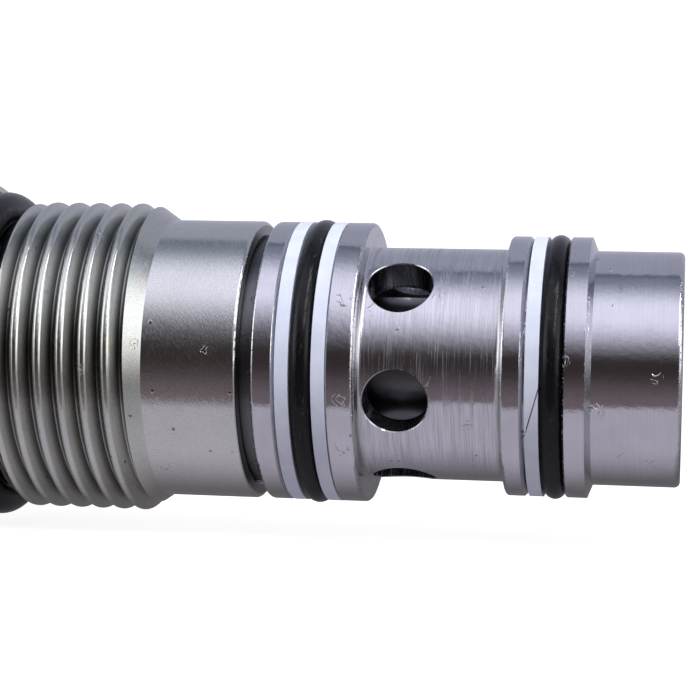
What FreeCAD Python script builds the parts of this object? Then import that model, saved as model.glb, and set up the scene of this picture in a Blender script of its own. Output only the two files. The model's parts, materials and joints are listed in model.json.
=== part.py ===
import FreeCAD, Part
import math
import os

import Sketcher

# Pilot-operated screw-in cartridge valve, in millimetres.
# The valve's axis is X. X = 0 is the seating face under the hexagon, and +X points to the nose.
# Every piece is modelled at its place in the assembled, closed valve.

# Driving dimensions. A name ending in _at is a place along the axis, and _turn is an angle in degrees.
SIZES = {
    # hexagon head
    "hex_width": 28.575,
    "head_end_at": -19.0,
    "head_chamfer_length": 1.4,
    "head_chamfer_radius": 13.6,
    "washer_face_radius": 14.1,
    "washer_face_height": 0.9,
    "recess_radius": 13.65,
    "recess_depth": 0.35,
    # cavity thread, 1 inch with 14 threads to the inch, right-handed
    "neck_radius": 10.47,
    "thread_start_at": 3.0,
    "thread_radius": 12.65,
    "thread_pitch": 1.8143,
    "thread_crest_at": 3.98,
    "thread_start_radius": 11.2,
    "thread_end_at": 14.14,
    "thread_last_at": 17.0,
    # smooth skirt below the thread
    "skirt_start_at": 16.04,
    "skirt_end_at": 23.5,
    "skirt_radius": 11.315,
    "edge_break": 0.25,
    "edge_round": 0.28,
    # stepped bore of the valve body
    "screw_bore_radius": 4.81,
    "chamber_start_at": -9.0,
    "chamber_radius": 5.6,
    "socket_floor_at": 12.0,
    "socket_radius": 9.95,
    "clip_at": 19.1,
    "clip_wire_radius": 0.4,
    "clip_turn": 335,
    "clip_play": 0.1,
    "clip_groove_depth": 0.45,
    # cage: spigot, two seal lands, ported neck and nose
    "cage_start_at": 14.52,
    "spigot_radius": 9.9,
    "spigot_groove_radius": 9.1,
    "upper_land_at": 24.64,
    "upper_land_radius": 11.3,
    "upper_groove_at": 26.49,
    "upper_groove_end_at": 30.46,
    "upper_groove_radius": 9.72,
    "upper_land_end_at": 32.58,
    "neck_outer_radius": 9.325,
    "neck_fillet": 0.45,
    "lower_land_at": 43.65,
    "lower_land_radius": 10.4,
    "lower_groove_at": 45.37,
    "lower_groove_end_at": 48.39,
    "lower_groove_radius": 8.78,
    "lower_land_end_at": 50.05,
    "lower_land_chamfer": 0.42,
    "nose_end_at": 57.3,
    "nose_round": 0.45,
    "cage_bore_radius": 6.75,
    "main_seat_at": 44.21,
    "main_seat_radius": 5.7,
    "nose_port_at": 53.0,
    "nose_port_radius": 6.6,
    "port_at": 35.54,
    "port_radius": 2.55,
    "port_turn": -11.2,
    "port_edge_break": 0.08,
    "drain_radius": 0.7,
    "drain_offset": 8.0,
    "drain_exit_at": 33.9,
    # seals on the cage and under the head
    "ring_gap": 0.02,
    "backup_width": 1.05,
    "upper_backup_at": 26.56,
    "upper_ring_at": 28.5,
    "upper_ring_section": 0.885,
    "upper_backup_radius": 11.31,
    "lower_backup_at": 45.55,
    "lower_ring_at": 47.505,
    "lower_ring_section": 0.88,
    "lower_backup_radius": 10.4,
    "scarf_width": 0.09,
    "scarf_rise": 3.8,
    "scarf_turn": 110,
    "head_ring_at": 1.5,
    "head_ring_section": 1.475,
    "head_ring_radius": 11.97,
    # main piston with its orifice
    "piston_start_at": 22.5,
    "piston_radius": 6.7,
    "piston_pocket_radius": 5.0,
    "piston_floor_at": 31.0,
    "piston_guide_end_at": 31.6,
    "waist_radius": 5.3,
    "waist_start_at": 32.6,
    "waist_end_at": 42.6,
    "piston_head_radius": 6.3,
    "cone_start_at": 43.4,
    "cone_end_at": 45.6,
    "cone_end_radius": 4.6,
    "piston_end_at": 46.8,
    "balance_groove_at": 25.2,
    "balance_groove_step": 2.2,
    "balance_groove_width": 0.5,
    "balance_groove_depth": 0.3,
    "feed_radius": 1.3,
    "plug_at": 41.0,
    "plug_end_at": 44.9,
    "plug_radius": 2.6,
    "plug_slot_width": 0.8,
    "plug_slot_depth": 0.8,
    "orifice_radius": 0.4,
    "screen_at": 45.05,
    "screen_thickness": 0.3,
    "screen_radius": 3.15,
    "screen_hole_radius": 0.3,
    "screen_hole_offset": 2.0,
    "screen_hole_count": 10,
    "screen_pocket_radius": 3.2,
    "screen_clip_at": 45.75,
    "screen_clip_section": 0.28,
    "screen_clip_radius": 2.9,
    # springs
    "main_spring_wire": 0.6,
    "main_spring_radius": 4.1,
    "main_spring_turns": 6.5,
    "pilot_spring_wire": 0.5,
    "pilot_spring_radius": 4.05,
    "pilot_spring_turns": 3.5,
    # pilot seat, ball and ball guide
    "seat_flange_radius": 7.4,
    "seat_flange_end_at": 14.5,
    "seat_stem_end_at": 19.0,
    "seat_ring_groove_at": 15.7,
    "seat_ring_groove_end_at": 17.3,
    "seat_ring_groove_radius": 5.4,
    "seat_ring_section": 0.65,
    "seat_hole_radius": 1.2,
    "seat_hole_end_at": 15.0,
    "seat_relief_radius": 2.2,
    "seat_slot_inner": 3.6,
    "seat_slot_width": 1.6,
    "seat_slot_depth": 0.8,
    "seat_slot_count": 4,
    "ball_at": 10.4,
    "ball_radius": 1.984,
    "guide_start_at": 5.4,
    "guide_flange_at": 7.4,
    "guide_flange_end_at": 9.0,
    "guide_end_at": 10.3,
    "guide_nose_radius": 3.1,
    "guide_flange_radius": 5.1,
    "guide_socket_radius": 2.0,
    "guide_socket_at": 8.41,
    # adjuster: spring guide with its seal, screw, locknut and seal washer
    "button_start_at": -5.7,
    "button_end_at": 0.3,
    "button_nose_end_at": 1.8,
    "button_radius": 5.55,
    "button_nose_radius": 2.9,
    "button_groove_at": -4.3,
    "button_groove_end_at": -1.7,
    "button_groove_radius": 4.0,
    "button_backup_end_at": -3.3,
    "button_ring_at": -2.5,
    "button_ring_section": 0.75,
    "screw_end_at": -32.5,
    "screw_thread_end_at": -9.6,
    "screw_radius": 4.7625,
    "screw_pitch": 1.0583,
    "screw_tip_radius": 3.6,
    "screw_tip_gap": 0.02,
    "screw_chamfer": 0.7,
    "socket_width": 3.97,
    "socket_depth": 5.0,
    "locknut_width": 14.2875,
    "locknut_at": -25.8,
    "locknut_end_at": -20.32,
    "locknut_chamfer": 0.6,
    "locknut_bore_radius": 4.81,
    "locknut_turn": 19,
    "seal_washer_at": -20.3,
    "seal_washer_end_at": -19.02,
    "seal_washer_bore_radius": 4.95,
    "seal_washer_radius": 6.9,
}

# Unified thread form with a rounded crest: lengths as parts of the pitch, and the flank's angle.
THREAD_DEPTH = 0.6134
CREST_ROUND = 0.2
FLANK_ANGLE = math.radians(30)
ROOT_SINK = 0.03
# A hexagon's width across flats, over its corner radius.
HEX_CORNER = math.sqrt(3)
PORT_PAIRS = 3
BALANCE_GROOVES = 2
SCARF_OVERRUN = 1.3
FULL_TURN = 360
SPARE = 2.0
POINT_MATCH = 1e-6
EDGE_MATCH = 1e-3
EDGE_SAMPLES = 5
ROUND = True

doc = FreeCAD.newDocument("cartridge_valve")
pieces = []


class Size:
    """A dimension: its value now, and the expression that keeps it bound to the sheet."""

    def __init__(self, value, text):
        self.value = value
        self.text = text

    def join(self, other, sign, value):
        return Size(value, f"({self.text} {sign} {as_size(other).text})")

    def __add__(self, other):
        return self.join(other, "+", self.value + as_size(other).value)

    def __sub__(self, other):
        return self.join(other, "-", self.value - as_size(other).value)

    def __mul__(self, other):
        return self.join(other, "*", self.value * as_size(other).value)

    def __truediv__(self, other):
        return self.join(other, "/", self.value / as_size(other).value)


def as_size(number):
    """A plain number as a Size, or the Size itself."""
    return number if isinstance(number, Size) else Size(float(number), f"{float(number):.9f}")


def make_sheet():
    """Put every driving dimension in the sheet, and return the Size that follows each one."""
    sheet = doc.addObject("Spreadsheet::Sheet", "Sizes")
    for row, (alias, number) in enumerate(SIZES.items(), 1):
        sheet.set(f"A{row}", alias)
        sheet.set(f"B{row}", str(number))
        sheet.setAlias(f"B{row}", alias)
    doc.recompute()
    return {alias: Size(float(sheet.get(alias)), f"Sizes.{alias}") for alias in SIZES}


D = make_sheet()
AXIS = as_size(0)


def new_body(label):
    """An empty body whose label names the piece's node and file."""
    body = doc.addObject("PartDesign::Body", label)
    body.Label = label
    pieces.append(body)
    return body


def origin_part(body, role):
    """One of the body's own origin planes or axes."""
    return next(part for part in body.Origin.OriginFeatures if part.Role == role)


def new_sketch(body, plane, along_x=None, turn=None, lift=None):
    """A sketch on an origin plane, turned about the valve's axis or moved along its own normal."""
    sketch = body.newObject("Sketcher::SketchObject", body.Name + "_sketch")
    sketch.AttachmentSupport = (origin_part(body, plane), [""])
    sketch.MapMode = "FlatFace"
    if turn is not None:
        normal_is_axis = plane == "YZ_Plane"
        axis = FreeCAD.Vector(0, 0, 1) if normal_is_axis else FreeCAD.Vector(1, 0, 0)
        rotation = FreeCAD.Rotation(axis, turn.value)
        sketch.AttachmentOffset = FreeCAD.Placement(FreeCAD.Vector(), rotation)
        sketch.setExpression("AttachmentOffset.Rotation.Angle", turn.text)
    if along_x is not None:
        sketch.setExpression("AttachmentOffset.Base.z", along_x.text)
    if lift is not None:
        # the offset is counted before the turn, so its two parts follow the turned normal
        sketch.setExpression("AttachmentOffset.Base.y", f"-{lift.text} * sin({turn.text} * 1 deg)")
        sketch.setExpression("AttachmentOffset.Base.z", f"{lift.text} * cos({turn.text} * 1 deg)")
    return sketch


def hold(sketch, edge, end, kind, size):
    """Hold one coordinate of a sketch point at a size, or on the axis where that is zero."""
    if size is AXIS:
        across = -1 if kind == "DistanceY" else -2
        sketch.addConstraint(Sketcher.Constraint("PointOnObject", edge, end, across))
        return
    index = sketch.addConstraint(Sketcher.Constraint(kind, edge, end, size.value))
    sketch.setExpression(f"Constraints[{index}]", size.text)


def hold_radius(sketch, edge, radius):
    """Hold the radius of a circle or an arc."""
    index = sketch.addConstraint(Sketcher.Constraint("Radius", edge, radius.value))
    sketch.setExpression(f"Constraints[{index}]", radius.text)


def draw_outline(sketch, corners):
    """A closed outline whose corners all follow the sheet.

    A corner is (x, y). One given as (x, y, radius, middle) starts an arc of that radius, which
    passes through the middle on its way to the next corner.
    """
    points = [FreeCAD.Vector(corner[0].value, corner[1].value, 0) for corner in corners]
    count = len(points)
    edges = []
    for i, corner in enumerate(corners):
        start = points[i]
        end = points[(i + 1) % count]
        if len(corner) == 2:
            edges.append((sketch.addGeometry(Part.LineSegment(start, end), False), 1, 2))
            continue
        edge = sketch.addGeometry(Part.Arc(start, corner[3], end), False)
        starts_here = sketch.getPoint(edge, 1).isEqual(start, POINT_MATCH)
        edges.append((edge, 1, 2) if starts_here else (edge, 2, 1))
    for i, (edge, _, end) in enumerate(edges):
        following, start, _ = edges[(i + 1) % count]
        sketch.addConstraint(Sketcher.Constraint("Coincident", edge, end, following, start))
    for corner, (edge, start, _) in zip(corners, edges):
        hold(sketch, edge, start, "DistanceX", corner[0])
        hold(sketch, edge, start, "DistanceY", corner[1])
        if len(corner) > 2:
            hold_radius(sketch, edge, corner[2])


def draw_circle(sketch, x, y, radius):
    """A circle whose centre and radius follow the sheet."""
    centre = FreeCAD.Vector(x.value, y.value, 0)
    circle = Part.Circle(centre, FreeCAD.Vector(0, 0, 1), radius.value)
    edge = sketch.addGeometry(circle, False)
    hold(sketch, edge, 3, "DistanceX", x)
    hold(sketch, edge, 3, "DistanceY", y)
    hold_radius(sketch, edge, radius)


def draw_hexagon(sketch, width):
    """A regular hexagon about the sketch's origin, with two corners on its first axis."""
    corner = width / HEX_CORNER
    half = width / 2
    side = corner / 2
    draw_outline(sketch, [
        (corner, AXIS),
        (side, half),
        (AXIS - side, half),
        (AXIS - corner, AXIS),
        (AXIS - side, AXIS - half),
        (side, AXIS - half),
    ])


def broken(corner, before, after, cut, is_round):
    """The two points that a bevel or a rounding puts in place of a square corner."""
    def towards(other):
        if abs(other[0].value - corner[0].value) > abs(other[1].value - corner[1].value):
            way = math.copysign(1, other[0].value - corner[0].value)
            return (corner[0] + cut * way, corner[1])
        way = math.copysign(1, other[1].value - corner[1].value)
        return (corner[0], corner[1] + cut * way)
    start = towards(before)
    end = towards(after)
    if not is_round:
        return [start, end]
    sharp = FreeCAD.Vector(corner[0].value, corner[1].value, 0)
    chord_middle = FreeCAD.Vector(start[0].value + end[0].value, start[1].value + end[1].value, 0) / 2
    centre = chord_middle * 2 - sharp
    middle = centre + (sharp - centre).normalize() * cut.value
    return [(*start, cut, middle), end]


def with_edges(corners):
    """An outline with its corners finished.

    A corner given as (x, y, cut) is bevelled, and one given as (x, y, radius, ROUND) is rounded.
    """
    result = []
    count = len(corners)
    for i, corner in enumerate(corners):
        if len(corner) == 2:
            result.append(corner)
            continue
        before = corners[i - 1]
        after = corners[(i + 1) % count]
        result.extend(broken(corner[:2], before, after, corner[2], len(corner) > 3))
    return result


def turned(label, corners, angle=None):
    """A piece turned about the valve's axis from its half section."""
    body = new_body(label)
    sketch = new_sketch(body, "XZ_Plane")
    draw_outline(sketch, with_edges(corners))
    revolve(body, sketch, angle)
    return body


def revolve(body, sketch, angle=None):
    """Add the sketch to the body, turned about the valve's axis."""
    solid = body.newObject("PartDesign::Revolution", body.Name + "_turned")
    solid.Profile = sketch
    solid.ReferenceAxis = (sketch, ["H_Axis"])
    solid.Angle = FULL_TURN
    if angle is not None:
        solid.setExpression("Angle", angle.text)


def round_ring(label, x, radius, section, angle=None):
    """A ring of round section, such as an O-ring or a wire clip."""
    body = new_body(label)
    sketch = new_sketch(body, "XZ_Plane")
    draw_circle(sketch, x, radius, section)
    revolve(body, sketch, angle)
    return body


def flat_ring(label, start, end, inner, outer):
    """A ring of rectangular section, such as a backup ring or a washer."""
    return turned(label, [(start, inner), (start, outer), (end, outer), (end, inner)])


def turn_away(body, corners):
    """Take a turned groove off the body."""
    sketch = new_sketch(body, "XZ_Plane")
    draw_outline(sketch, corners)
    groove = body.newObject("PartDesign::Groove", body.Name + "_groove")
    groove.Profile = sketch
    groove.ReferenceAxis = (sketch, ["H_Axis"])
    groove.Angle = FULL_TURN


def cut_pocket(body, sketch, length=None, reverse=False, both_ways=False):
    """Cut the sketch out of the body, right through it or to a stated length."""
    pocket = body.newObject("PartDesign::Pocket", body.Name + "_cut")
    pocket.Profile = sketch
    pocket.Reversed = reverse
    pocket.Midplane = both_ways
    if length is None:
        pocket.Type = "ThroughAll"
    else:
        pocket.Type = "Length"
        pocket.setExpression("Length", length.text)
    return pocket


def repeat_round_axis(body, feature, count, angle):
    """Repeat a cut round the valve's axis, evenly over the angle."""
    pattern = body.newObject("PartDesign::PolarPattern", body.Name + "_pattern")
    pattern.Originals = [feature]
    pattern.Axis = (origin_part(body, "X_Axis"), [""])
    pattern.Angle = angle
    pattern.Occurrences = count
    body.Tip = pattern


def cut_hexagon(body, width, corner_limit, start, length):
    """Cut six flats: everything outside the hexagon goes, from start towards -X."""
    sketch = new_sketch(body, "YZ_Plane", along_x=start)
    draw_circle(sketch, AXIS, AXIS, corner_limit)
    draw_hexagon(sketch, width)
    cut_pocket(body, sketch, length)


def wind(body, sketch, pitch, length):
    """Sweep the sketch along a right-handed helix about the valve's axis."""
    helix = body.newObject("PartDesign::AdditiveHelix", body.Name + "_helix")
    helix.Profile = sketch
    helix.ReferenceAxis = (sketch, ["H_Axis"])
    helix.Mode = "pitch-height-angle"
    helix.setExpression("Pitch", pitch.text)
    helix.setExpression("Height", length.text)


def wind_thread(body, crest_at, radius, pitch, length):
    """Add the ridge of an external thread, from the crest at crest_at towards +X."""
    sketch = new_sketch(body, "XZ_Plane")
    bend = pitch * CREST_ROUND
    half_crest = bend * math.cos(FLANK_ANGLE)
    shoulder = radius - bend * (1 - math.sin(FLANK_ANGLE))
    base = thread_root(radius, pitch) - ROOT_SINK
    half_base = half_crest + (shoulder - base) * math.tan(FLANK_ANGLE)
    top = FreeCAD.Vector(crest_at.value, radius.value, 0)
    draw_outline(sketch, [
        (crest_at - half_base, base),
        (crest_at - half_crest, shoulder, bend, top),
        (crest_at + half_crest, shoulder),
        (crest_at + half_base, base),
    ])
    wind(body, sketch, pitch, length)


def thread_root(radius, pitch):
    """The radius at the bottom of an external thread."""
    return radius - pitch * THREAD_DEPTH


def coil_spring(label, start, end, radius, wire, turns):
    """A compression spring whose two ends are ground flat, between start and end."""
    body = new_body(label)
    sketch = new_sketch(body, "XZ_Plane")
    draw_circle(sketch, start, radius, wire)
    wind(body, sketch, (end - start) / turns, end - start)
    outer = radius + wire * 2
    turn_away(body, [(start - wire * 2, AXIS), (start - wire * 2, outer), (start, outer), (start, AXIS)])
    turn_away(body, [(end, AXIS), (end, outer), (end + wire * 2, outer), (end + wire * 2, AXIS)])
    return body


def valve_body():
    """The threaded adapter: hexagon head, cavity thread, smooth skirt and stepped bore."""
    washer_at = AXIS - D["washer_face_height"]
    corner_radius = D["hex_width"] / HEX_CORNER
    recess_at = AXIS - D["recess_depth"]
    root = thread_root(D["thread_radius"], D["thread_pitch"])
    run_out = (D["thread_radius"] - D["skirt_radius"]) / (D["skirt_start_at"] - D["thread_end_at"])
    root_end_at = D["thread_end_at"] + (D["thread_radius"] - root) / run_out
    root_start_at = D["thread_start_at"] + (root - D["thread_start_radius"])
    clip_half = D["clip_wire_radius"] + D["clip_play"]
    clip_start = D["clip_at"] - clip_half
    clip_end = D["clip_at"] + clip_half
    groove_radius = D["socket_radius"] + D["clip_groove_depth"]
    body = turned("valve_body", [
        (D["head_end_at"], D["screw_bore_radius"], D["edge_break"]),
        (D["head_end_at"], D["head_chamfer_radius"]),
        (D["head_end_at"] + D["head_chamfer_length"], corner_radius),
        (washer_at - D["head_chamfer_length"], corner_radius),
        (washer_at, D["washer_face_radius"]),
        (AXIS, D["washer_face_radius"]),
        (AXIS, D["recess_radius"]),
        (recess_at, D["recess_radius"]),
        (recess_at, D["neck_radius"]),
        (D["thread_start_at"], D["neck_radius"]),
        (D["thread_start_at"], D["thread_start_radius"]),
        (root_start_at, root),
        (root_end_at, root),
        (D["skirt_start_at"], D["skirt_radius"]),
        (D["skirt_end_at"], D["skirt_radius"], D["edge_round"], ROUND),
        (D["skirt_end_at"], D["socket_radius"], D["edge_break"]),
        (clip_end, D["socket_radius"]),
        (clip_end, groove_radius),
        (clip_start, groove_radius),
        (clip_start, D["socket_radius"]),
        (D["socket_floor_at"], D["socket_radius"]),
        (D["socket_floor_at"], D["chamber_radius"]),
        (D["chamber_start_at"], D["chamber_radius"]),
        (D["chamber_start_at"], D["screw_bore_radius"]),
    ])
    first_crest = D["thread_crest_at"] - D["thread_pitch"]
    length = D["thread_last_at"] - first_crest
    wind_thread(body, first_crest, D["thread_radius"], D["thread_pitch"], length)
    trim_thread_start(body, root)
    trim_thread_end(body, run_out)
    limit = corner_radius + SPARE
    cut_hexagon(body, D["hex_width"], limit, washer_at, washer_at - D["head_end_at"])


def trim_thread_start(body, root):
    """Bevel the start of the cavity thread, above the neck that holds the head O-ring."""
    above = D["thread_radius"] + D["edge_break"]
    below = root - D["edge_break"]
    start = D["thread_start_at"]
    turn_away(body, [
        (start - SPARE, below),
        (start, below),
        (start, D["thread_start_radius"]),
        (start + (above - D["thread_start_radius"]), above),
        (start - SPARE, above),
    ])


def trim_thread_end(body, run_out):
    """Bevel the end of the cavity thread down to the skirt."""
    above = D["thread_radius"] + D["edge_break"]
    clear = D["skirt_radius"] + ROOT_SINK
    lift = D["ring_gap"]
    end = D["thread_last_at"] + SPARE
    turn_away(body, [
        (D["thread_end_at"] - D["edge_break"] / run_out, above + lift),
        (D["skirt_start_at"] - (clear - lift - D["skirt_radius"]) / run_out, clear),
        (end, clear),
        (end, above + lift),
    ])


def cage():
    """The sleeve: spigot, two seal lands, ported neck and nose, with the main seat inside."""
    clip_half = D["clip_wire_radius"] + D["clip_play"]
    clip_start = D["clip_at"] - clip_half
    clip_end = D["clip_at"] + clip_half
    edge = D["edge_break"]
    bend = D["edge_round"]
    body = turned("cage", [
        (D["cage_start_at"], D["cage_bore_radius"], edge),
        (D["cage_start_at"], D["spigot_radius"], edge),
        (clip_start, D["spigot_radius"]),
        (clip_start, D["spigot_groove_radius"]),
        (clip_end, D["spigot_groove_radius"]),
        (clip_end, D["spigot_radius"]),
        (D["upper_land_at"], D["spigot_radius"]),
        (D["upper_land_at"], D["upper_land_radius"], bend, ROUND),
        (D["upper_groove_at"], D["upper_land_radius"], edge),
        (D["upper_groove_at"], D["upper_groove_radius"]),
        (D["upper_groove_end_at"], D["upper_groove_radius"]),
        (D["upper_groove_end_at"], D["upper_land_radius"], edge / 2),
        (D["upper_land_end_at"], D["upper_land_radius"], bend, ROUND),
        (D["upper_land_end_at"], D["neck_outer_radius"], D["neck_fillet"], ROUND),
        (D["lower_land_at"], D["neck_outer_radius"], D["neck_fillet"], ROUND),
        (D["lower_land_at"], D["lower_land_radius"], bend, ROUND),
        (D["lower_groove_at"], D["lower_land_radius"], edge),
        (D["lower_groove_at"], D["lower_groove_radius"]),
        (D["lower_groove_end_at"], D["lower_groove_radius"]),
        (D["lower_groove_end_at"], D["lower_land_radius"], edge / 2),
        (D["lower_land_end_at"], D["lower_land_radius"]),
        (D["lower_land_end_at"] + D["lower_land_chamfer"], D["neck_outer_radius"]),
        (D["nose_end_at"], D["neck_outer_radius"], D["nose_round"], ROUND),
        (D["nose_end_at"], D["nose_port_radius"], edge),
        (D["nose_port_at"], D["nose_port_radius"]),
        (D["nose_port_at"], D["main_seat_radius"]),
        (D["main_seat_at"], D["main_seat_radius"]),
        (D["main_seat_at"], D["cage_bore_radius"]),
    ])
    drill_drain(body)
    ports = new_sketch(body, "XY_Plane", turn=D["port_turn"])
    draw_circle(ports, D["port_at"], AXIS, D["port_radius"])
    port_pair = cut_pocket(body, ports, both_ways=True)
    repeat_round_axis(body, port_pair, PORT_PAIRS, FULL_TURN / 2 * (PORT_PAIRS - 1) / PORT_PAIRS)
    break_port_edges(body)


def break_port_edges(body):
    """Bevel the outer edges of the side ports a little."""
    turns = [math.radians(D["port_turn"].value + FULL_TURN / 2 * k / PORT_PAIRS) for k in range(PORT_PAIRS)]

    def off_port(point, turn):
        beside = point.y * math.cos(turn) + point.z * math.sin(turn)
        return abs(math.hypot(point.x - D["port_at"].value, beside) - D["port_radius"].value)

    def is_port_edge(edge):
        points = edge.discretize(EDGE_SAMPLES)
        on_neck = all(abs(math.hypot(p.y, p.z) - D["neck_outer_radius"].value) < EDGE_MATCH for p in points)
        return on_neck and any(all(off_port(p, turn) < EDGE_MATCH for p in points) for turn in turns)

    doc.recompute()
    drilled = body.Tip
    edges = drilled.Shape.Edges
    names = [f"Edge{number}" for number, edge in enumerate(edges, 1) if is_port_edge(edge)]
    bevel = body.newObject("PartDesign::Chamfer", body.Name + "_port_edges")
    bevel.Base = (drilled, names)
    bevel.setExpression("Size", D["port_edge_break"].text)
    body.Tip = bevel


def drill_drain(body):
    """Drill the pilot drain: along the wall from the spigot's end, then out through the neck."""
    along = new_sketch(body, "YZ_Plane", along_x=D["cage_start_at"], turn=D["port_turn"])
    draw_circle(along, D["drain_offset"], AXIS, D["drain_radius"])
    length = D["drain_exit_at"] + D["drain_radius"] - D["cage_start_at"]
    cut_pocket(body, along, length, reverse=True)
    outwards = new_sketch(body, "XY_Plane", turn=D["port_turn"] - FULL_TURN / 4, lift=D["drain_offset"])
    draw_circle(outwards, D["drain_exit_at"], AXIS, D["drain_radius"])
    cut_pocket(body, outwards, D["neck_outer_radius"], reverse=True)


def cage_seals():
    """Two O-rings on the cage, each with its backup rings, and the O-ring under the head."""
    gap = D["ring_gap"]
    upper_inner = D["upper_groove_radius"] + gap
    flat_ring(
        "upper_backup_ring_rear",
        D["upper_backup_at"],
        D["upper_backup_at"] + D["backup_width"],
        upper_inner,
        D["upper_backup_radius"],
    )
    front_end = D["upper_groove_end_at"] - gap
    flat_ring(
        "upper_backup_ring_front",
        front_end - D["backup_width"],
        front_end,
        upper_inner,
        D["upper_backup_radius"],
    )
    section = D["upper_ring_section"]
    round_ring("upper_o_ring", D["upper_ring_at"], upper_inner + section, section)
    lower_inner = D["lower_groove_radius"] + gap
    section = D["lower_ring_section"]
    round_ring("lower_o_ring", D["lower_ring_at"], lower_inner + section, section)
    split = flat_ring(
        "lower_backup_ring",
        D["lower_backup_at"],
        D["lower_backup_at"] + D["backup_width"],
        lower_inner,
        D["lower_backup_radius"],
    )
    cut_scarf(split)
    round_ring("head_o_ring", D["head_ring_at"], D["head_ring_radius"], D["head_ring_section"])


def cut_scarf(ring):
    """Cut the ring through on a slant, so that it can be opened and sprung into its groove."""
    sketch = new_sketch(ring, "XY_Plane", turn=D["scarf_turn"])
    middle = D["lower_backup_at"] + D["backup_width"] / 2
    half_rise = D["scarf_rise"] / 2
    half_run = D["backup_width"] / 2
    slope = half_run / half_rise
    reach = half_rise * SCARF_OVERRUN
    run = reach * slope
    half_width = D["scarf_width"] / 2
    draw_outline(sketch, [
        (middle - run - half_width, AXIS - reach),
        (middle + run - half_width, reach),
        (middle + run + half_width, reach),
        (middle - run + half_width, AXIS - reach),
    ])
    cut_pocket(ring, sketch, D["lower_backup_radius"] + SPARE, reverse=True)


def main_piston():
    """The hollow piston: guide, waist and seating cone, with its orifice, screen and clip."""
    edge = D["edge_break"]
    grooves = []
    for i in range(BALANCE_GROOVES):
        start = D["balance_groove_at"] + D["balance_groove_step"] * i
        end = start + D["balance_groove_width"]
        floor = D["piston_radius"] - D["balance_groove_depth"]
        grooves += [(start, D["piston_radius"]), (start, floor), (end, floor), (end, D["piston_radius"])]
    turned("main_piston", [
        (D["piston_start_at"], D["piston_pocket_radius"], edge),
        (D["piston_start_at"], D["piston_radius"], edge),
        *grooves,
        (D["piston_guide_end_at"], D["piston_radius"]),
        (D["waist_start_at"], D["waist_radius"]),
        (D["waist_end_at"], D["waist_radius"]),
        (D["cone_start_at"], D["piston_head_radius"]),
        (D["cone_end_at"], D["cone_end_radius"]),
        (D["piston_end_at"], D["cone_end_radius"], edge),
        (D["piston_end_at"], D["screen_pocket_radius"]),
        (D["plug_end_at"] + D["ring_gap"], D["screen_pocket_radius"]),
        (D["plug_end_at"] + D["ring_gap"], D["plug_radius"] + D["ring_gap"]),
        (D["plug_at"], D["plug_radius"] + D["ring_gap"]),
        (D["plug_at"], D["feed_radius"]),
        (D["piston_floor_at"], D["feed_radius"]),
        (D["piston_floor_at"], D["piston_pocket_radius"]),
    ])
    orifice_plug()
    orifice_screen()
    round_ring(
        "screen_clip",
        D["screen_clip_at"],
        D["screen_clip_radius"],
        D["screen_clip_section"],
        D["clip_turn"],
    )


def orifice_plug():
    """The slotted plug whose small hole feeds the pilot stage."""
    plug = turned("orifice_plug", [
        (D["plug_at"] + D["ring_gap"], D["orifice_radius"]),
        (D["plug_at"] + D["ring_gap"], D["plug_radius"], D["edge_break"]),
        (D["plug_end_at"], D["plug_radius"], D["edge_break"]),
        (D["plug_end_at"], D["orifice_radius"]),
    ])
    slot = new_sketch(plug, "YZ_Plane", along_x=D["plug_end_at"])
    half = D["plug_slot_width"] / 2
    reach = D["plug_radius"] + D["edge_break"]
    draw_outline(slot, [
        (AXIS - reach, AXIS - half),
        (reach, AXIS - half),
        (reach, half),
        (AXIS - reach, half),
    ])
    cut_pocket(plug, slot, D["plug_slot_depth"])


def orifice_screen():
    """The perforated disc that keeps dirt out of the orifice."""
    end = D["screen_at"] + D["screen_thickness"]
    screen = turned("orifice_screen", [
        (D["screen_at"], AXIS),
        (D["screen_at"], D["screen_radius"]),
        (end, D["screen_radius"]),
        (end, AXIS),
    ])
    hole = new_sketch(screen, "YZ_Plane", along_x=end)
    draw_circle(hole, D["screen_hole_offset"], AXIS, D["screen_hole_radius"])
    first = cut_pocket(screen, hole, D["screen_thickness"] + D["edge_break"])
    repeat_round_axis(screen, first, int(D["screen_hole_count"].value), FULL_TURN)


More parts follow.
